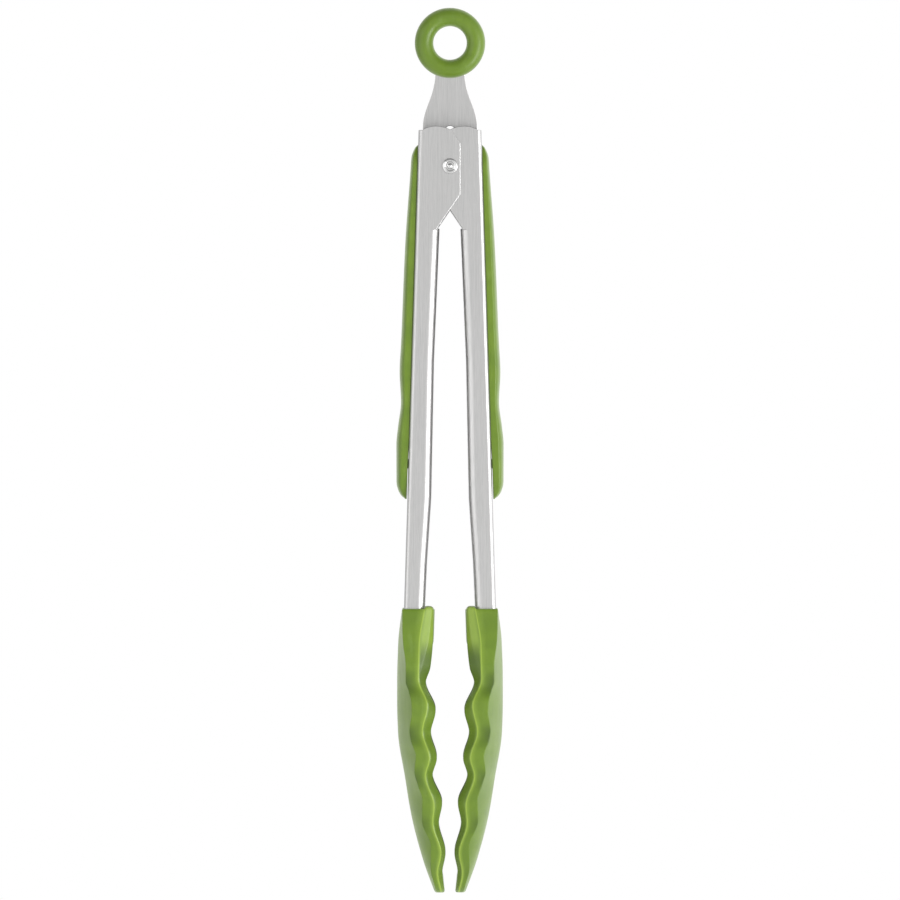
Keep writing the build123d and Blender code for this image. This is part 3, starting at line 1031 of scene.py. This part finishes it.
@dataclass
class PaddedGrip:
    """The soft pad along an arm's back, with a finger swell and three studs through the steel."""

    side: Side
    material: bpy.types.Material
    web_at_rivet: float = 12.98
    web_at_head: float = 18.37
    steel_length: float = 176.5
    sheet: float = 0.7
    top: float = 8.6
    foot: float = -132.8
    crown: Outline = Outline(
        ((-8.8, 12.3), (-8.3, 13.3), (-7.2, 14.2), (-3.6, 15.45), (1.6, 15.8), (30, 17.85),
         (70, 19.55), (82, 20.15), (94, 19.6), (104, 20.8), (111, 21.45), (126, 21.4),
         (129.5, 20.6), (131.6, 19.3), (132.6, 18.0))
    )
    half_width: Outline = Outline(
        ((-8.6, 6.5), (-7.6, 8.6), (-5.0, 10.2), (0, 11.2), (122, 11.2), (128, 10.6), (131, 9.2),
         (132.8, 6.8))
    )
    clear: float = 0.02
    swell: float = 0.3
    swell_start: float = 108.0
    swell_run: float = 14.0
    thinnest: float = 0.25
    shoulder: float = 0.58
    bow_steps: int = 12
    end_rows: tuple[float, ...] = (0.02, 0.12, 0.3, 0.6, 1.0, 1.5, 2.2)
    end_length: float = 3.0
    rows: int = 150
    studs: tuple[float, ...] = (0.10, 0.50, 0.90)
    stud_sides: int = 32
    neck: float = 1.9
    head: float = 2.9
    head_height: float = 1.1

    def __post_init__(self) -> None:
        """Reads where the grip stands from its CAD node."""
        self.node = f"{self.side.word}_grip"
        self.datum = Datum.of(self.node, self.side)

    def web(self, up: float) -> float:
        """Distance of the arm's outer face from the centre line at a height."""
        return self.web_at_rivet + (self.web_at_rivet - self.web_at_head) * up / self.steel_length

    def section(self, up: float) -> list[Vector]:
        """Sets out a closed ring across the grip: flat base, upright sides, crowned back.

        Args:
            up: the place above the rivet.

        Returns:
            The ring's points in metres, in the row frame.
        """
        lift = self.swell * smooth((-up - self.swell_start) / self.swell_run)
        base = self.web(up) + self.clear + lift
        crown = max(self.crown.at(-up), base + self.thinnest)
        half = self.half_width.at(-up)
        thick = crown - base
        side = base + thick * self.shoulder
        curve = [
            (side, half),
            (base + thick * 0.97, half * 0.93),
            (crown, half * 0.5),
            (crown, 0),
        ]
        bow = [bezier(curve, s) for s in steps(self.bow_steps)]
        corners: list[Point3] = [
            (base, 0, 0),
            (base, half * 0.5, 0),
            (base, half, min(0.35, thick / 4)),
            (*bow[0], min(0.6, thick / 5)),
        ]
        corners += [(x, y, 0.0) for x, y in bow[1:]]
        line = rounded(corners)
        around = line + [(x, -y) for x, y in line[-2:0:-1]]
        return [self.datum.point(x, y, up) for x, y in around]

    def stud(self, shell: Shell, up: float) -> None:
        """Adds one stud: a neck through the arm's back and a cone shaped head inside it.

        Args:
            shell: the grip's mesh.
            up: the stud's place above the rivet.
        """
        web = self.web(up)
        seat = web - self.sheet - 0.1
        tip = seat - self.head_height
        profile = [
            (web + 0.5, self.neck),
            (seat, self.neck),
            (seat, self.head - 0.15),
            (seat - 0.12, self.head),
            (seat - 0.3, self.head - 0.02),
            (tip + 0.25, self.head - 0.62),
            (tip + 0.06, self.head - 0.82),
            (tip, self.head - 1.1),
            (tip, 0.4),
        ]
        turns = circle(self.stud_sides)
        rings = [
            [self.datum.point(x, r * math.sin(a), up + r * math.cos(a)) for a in turns]
            for x, r in profile
        ]
        shell.bar(rings)

    def build(self) -> None:
        """Makes the grip and puts it on its arm."""
        shell = Shell()
        length = self.top - self.foot
        run = length - 2 * self.end_length
        ups = [self.top - e for e in self.end_rows]
        ups += [self.top - self.end_length - run * s for s in steps(self.rows)]
        ups += [self.foot + e for e in self.end_rows[::-1]]
        shell.bar([self.section(up) for up in ups])
        for share in self.studs:
            self.stud(shell, self.top - share * length)
        piece = shell.build(f"{self.side.word}_soft_grip", self.material)
        hand_over(piece, self.side.word, Slot.SILICONE, self.node)


# ---- ring


@dataclass
class HangingRing:
    """The soft ring moulded over the lock plate's eye."""

    material: bpy.types.Material
    wall: float = 3.7
    squareness: float = 2.05
    turns: int = 160
    around: int = 48
    clear: float = 0.01
    node: str = "ring_cover"

    def squared(self, share: float) -> float:
        """A sine or cosine drawn out towards a square section's."""
        return math.copysign(abs(share) ** (2 / self.squareness), share)

    def build(self) -> None:
        """Makes the ring and puts it on the lock."""
        low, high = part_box(self.node)
        centre = (low + high) / 2
        outer = (high.x - low.x) / 2 - self.clear * MM
        thick = (high.y - low.y) / 2
        wall = self.wall * MM
        middle = outer - wall
        rings = []
        for angle in circle(self.turns):
            ring = []
            for a in circle(self.around):
                radius = middle + self.squared(math.cos(a)) * wall
                across = self.squared(math.sin(a)) * thick
                away = Vector((math.cos(angle), 0, math.sin(angle))) * radius
                ring.append(centre + away + Vector((0, across, 0)))
            rings.append(ring)
        shell = Shell()
        shell.tube(rings, closed=True)
        piece = shell.build("hanging_ring", self.material)
        hand_over(piece, "lock", Slot.SILICONE, self.node)


# ---- spring


@dataclass
class TwinCoilSpring:
    """Two coils round the rivet; the end legs press on one arm and the bridge on the other."""

    material: bpy.types.Material
    wire: float = 1.5
    radius: float = 4.1
    first: float = 1.6
    last: float = 9.85
    turns: float = 4.5
    overlap: float = 50.0
    slack: float = 0.075
    leg_reach: float = 21.0
    leg_out: float = 11.82
    sides: int = 20
    tips: tuple[Point2, ...] = ((0.0, 0.35), (0.08, 0.7), (0.25, 0.93))
    tip_length: float = 0.5
    coil_steps: int = 300
    arc_steps: int = 10
    leg_steps: int = 24
    bridge_steps: int = 8
    node: str = "torsion_spring"

    def __post_init__(self) -> None:
        """Finds where the legs leave the coil, touching it."""
        self.datum = Datum.of(self.node)
        distance = math.hypot(self.leg_out, self.leg_reach)
        lean = math.atan2(-self.leg_reach, self.leg_out)
        self.leave = lean + math.acos(self.radius / distance)

    def coil_point(self, angle: float, side: int) -> Vector:
        """Finds a point on the coil's wire.

        Args:
            angle: how far round; the bridge leg leaves at self.leave.
            side: -1 for the front coil and 1 for the back one.

        Returns:
            The point in metres.
        """
        share = (angle - self.leave) / (self.turns * 2 * math.pi)
        across = side * (self.first + (self.last - self.first) * share)
        out = -self.radius * math.cos(angle)
        return self.datum.point(out, across, self.radius * math.sin(angle))

    def rod(self, shell: Shell, line: Sequence[Vector], radius: float) -> None:
        """Adds a round bar with rounded ends.

        Args:
            shell: the mesh that it joins.
            line: points along its middle.
            radius: the bar's radius in metres.
        """
        across = Vector((0, 1, 0))
        rings = []
        count = len(line)
        for i, here in enumerate(line):
            before, after = line[max(0, i - 1)], line[min(count - 1, i + 1)]
            along = (after - before).normalized()
            side = along.cross(across)
            if side.length < 0.2:
                side = along.cross(Vector((1, 0, 0)))
            side.normalize()
            up = side.cross(along)
            frames = [(here, 1.0)]
            tips = [(along * radius * (self.tip_length - e), size) for e, size in self.tips]
            if i == 0:
                frames = [(here - reach, size) for reach, size in tips] + frames
            if i == count - 1:
                frames += [(here + reach, size) for reach, size in tips[::-1]]
            for centre, size in frames:
                ring = []
                for a in circle(self.sides):
                    reach = radius * size
                    ring.append(centre + side * reach * math.cos(a) + up * reach * math.sin(a))
                rings.append(ring)
        shell.bar(rings)

    def coils(self) -> None:
        """The two coils, which stay with the rivet."""
        shell = Shell()
        span = self.end_angle() - self.leave
        for side in (-1, 1):
            line = [self.coil_point(self.leave + span * s, side) for s in steps(self.coil_steps)]
            self.rod(shell, line, self.wire / 2 * MM)
        piece = shell.build("spring_coils", self.material)
        hand_over(piece, "pivot", Slot.SPRING, self.node)

    def end_angle(self) -> float:
        """The angle at which the end leg leaves, the bridge leg's own seen in a mirror."""
        return math.pi - self.leave + (self.turns - 0.5) * 2 * math.pi

    def leg(self, side: int, end: bool) -> list[Vector]:
        """Sets out one leg: a short piece of coil, then straight down to the arm's back.

        Args:
            side: -1 for the front coil and 1 for the back one.
            end: whether it is an end leg, on the left arm, or a bridge leg.

        Returns:
            Points along its middle.
        """
        turn = math.radians(self.overlap)
        if end:
            start = self.end_angle()
            turn = -turn
            out = self.leg_out
        else:
            start = self.leave
            out = -self.leg_out
        arc = [self.coil_point(start + turn * (1 - s), side) for s in steps(self.arc_steps)]
        foot = self.datum.point(out, 0, -self.leg_reach)
        foot.y = arc[-1].y
        return arc + [arc[-1].lerp(foot, s) for s in steps(self.leg_steps)[1:]]

    def legs(self) -> None:
        """The end legs go with the left arm, and the bridge and its legs with the right."""
        thin = (self.wire / 2 - self.slack) * MM
        shell = Shell()
        for side in (-1, 1):
            self.rod(shell, self.leg(side, True), thin)
        piece = shell.build("spring_end_legs", self.material)
        hand_over(piece, "left", Slot.SPRING)
        shell = Shell()
        near, far = self.leg(-1, False), self.leg(1, False)
        self.rod(shell, near, thin)
        self.rod(shell, far, thin)
        self.rod(shell, [near[-1].lerp(far[-1], s) for s in steps(self.bridge_steps)], thin)
        piece = shell.build("spring_bridge_legs", self.material)
        hand_over(piece, "right", Slot.SPRING)

    def build(self) -> None:
        """Makes the coils and the legs."""
        self.coils()
        self.legs()


# ---- steel parts


@dataclass
class SteelParts:
    """The stamped and turned steel that keeps its CAD shape."""

    brushed: bpy.types.Material
    polished: bpy.types.Material
    stamped: tuple[str, ...] = ("left_arm", "right_arm", "lock_plate")
    turned: tuple[str, ...] = ("pivot_rivet", "spacer_sleeve_front", "spacer_sleeve_back")

    def dress(self) -> None:
        """Gives every steel node its finish."""
        for names, material, slot in (
            (self.stamped, self.brushed, Slot.BRUSHED),
            (self.turned, self.polished, Slot.POLISHED),
        ):
            for name in names:
                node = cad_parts[name]
                node.data.materials.clear()
                node.data.materials.append(material)
                log.info("%s dressed in %s", name, material.name)


# ---- studio


@dataclass
class Studio:
    """Floor, soft lights, white surround and the camera."""

    frame_width: float = 0.36
    lens: float = 400.0
    sensor: float = 36.0
    floor_gap: float = 0.10
    floor_radius: float = 1.0
    floor_solid: float = 0.32
    floor_sides: int = 96
    above: Point2 = (0.08, 0.30)
    front: float = 0.66
    right: float = 0.70
    left: float = 0.30
    behind: Point2 = (0.64, 0.22)

    def __post_init__(self) -> None:
        """Finds the middle of the whole object."""
        low, high = CAD_BOX
        self.centre = (low + high) / 2
        self.low = low

    def floor(self) -> None:
        """A plain pale disc below the tongs, which hang clear of it."""
        shell = Shell()
        height = self.low.z - self.floor_gap
        rings = [
            [Vector((r * math.cos(a), r * math.sin(a), height)) for a in circle(self.floor_sides)]
            for r in (self.floor_radius, self.floor_radius / 2, self.floor_radius / 8)
        ]
        made = shell.tube(rings)
        shell.lid(made[-1])
        finish = FloorFinish(self.floor_solid, self.floor_radius)
        piece = shell.build("studio_floor", finish.material())

    def surround(self) -> None:
        """A white surround, which lights the object from all round and least from below."""
        world = bpy.data.worlds.new("surround")
        bpy.context.scene.world = world
        shader = Shader(world)
        way = shader.node("ShaderNodeTexCoord", output="Generated")
        x, y, z = shader.axes(way)
        front = shader.span(y, -0.97, -0.82, 1.0, 0.0)
        right = shader.span(x, 0.74, 0.97, 0.0, self.right)
        left = shader.span(x, -0.97, -0.74, self.left, 0.0)
        behind = shader.span(y, 0.0, 0.5, 0.0, 1.0)
        height = shader.span(z, -0.9, 0.7, *self.above)
        even, lean = self.behind
        level = height + front * self.front + right + left + behind * (x * lean + even)
        white = {"Color": (1, 1, 1, 1)}
        lit = shader.node("ShaderNodeBackground", None, {**white, "Strength": level})
        seen = shader.node("ShaderNodeBackground", None, {**white, "Strength": 1.0})
        camera = shader.node("ShaderNodeLightPath", output="Is Camera Ray")
        both = shader.node("ShaderNodeMixShader", None, {0: camera, 1: lit, 2: seen})
        shader.node("ShaderNodeOutputWorld", None, {"Surface": both})

    def softbox(self, name: str, place: Point3, size: Point2, power: float) -> None:
        """Adds a rectangular soft light aimed at the object.

        Args:
            name: the light's name.
            place: metres from the object's middle.
            size: width and height in metres.
            power: watts.
        """
        data = bpy.data.lights.new(name, "AREA")
        data.shape = "RECTANGLE"
        data.size, data.size_y = size
        data.energy = power
        light = bpy.data.objects.new(name, data)
        light.location = self.centre + Vector(place)
        aim = -Vector(place)
        light.rotation_mode = "QUATERNION"
        light.rotation_quaternion = aim.to_track_quat("-Z", "Y")
        bpy.context.scene.collection.objects.link(light)

    def lights(self) -> None:
        """A large key and a strip from the right, and a weaker fill from the left."""
        self.softbox("key", (1.05, -1.15, 0.20), (1.3, 2.2), 7.0)
        self.softbox("strip", (1.15, -0.97, -0.25), (0.75, 1.1), 17.0)
        self.softbox("fill", (-1.08, -0.97, -0.05), (1.5, 2.0), 11.0)

    def camera(self) -> None:
        """A long lens, square on and level with the object's middle."""
        data = bpy.data.cameras.new("camera")
        data.lens = self.lens
        data.sensor_width = self.sensor
        distance = self.frame_width * self.lens / self.sensor
        camera = bpy.data.objects.new("camera", data)
        camera.location = Vector((0, -distance, self.centre.z))
        camera.rotation_euler = (math.radians(90), 0, 0)
        bpy.context.scene.collection.objects.link(camera)
        bpy.context.scene.camera = camera

    def build(self) -> None:
        """Sets up the whole studio."""
        bpy.context.scene.view_settings.view_transform = "Standard"
        self.floor()
        self.surround()
        self.lights()
        self.camera()


def main() -> None:
    """Builds the finishes, the pieces and the studio in order."""
    logging.basicConfig(level=logging.INFO, format="%(message)s")
    silicone = SiliconeFinish().material()
    brushed = BrushedSteelFinish().material()
    rivet = Datum.of("pivot_rivet").point(0, 0, 0)
    polished = TurnedSteelFinish(
        "polished_steel",
        light=(0.78, 0.78, 0.775),
        dark=(0.64, 0.64, 0.635),
        roughness=(0.12, 0.24),
        centre=tuple(c / MM for c in rivet),
    ).material()
    SteelParts(brushed, polished).dress()
    for side in Side:
        ScallopedHead(side, silicone).build()
        PaddedGrip(side, silicone).build()
    HangingRing(silicone).build()
    TwinCoilSpring(DrawnWireFinish().material()).build()
    Studio().build()


if __name__ == "__main__":
    main()
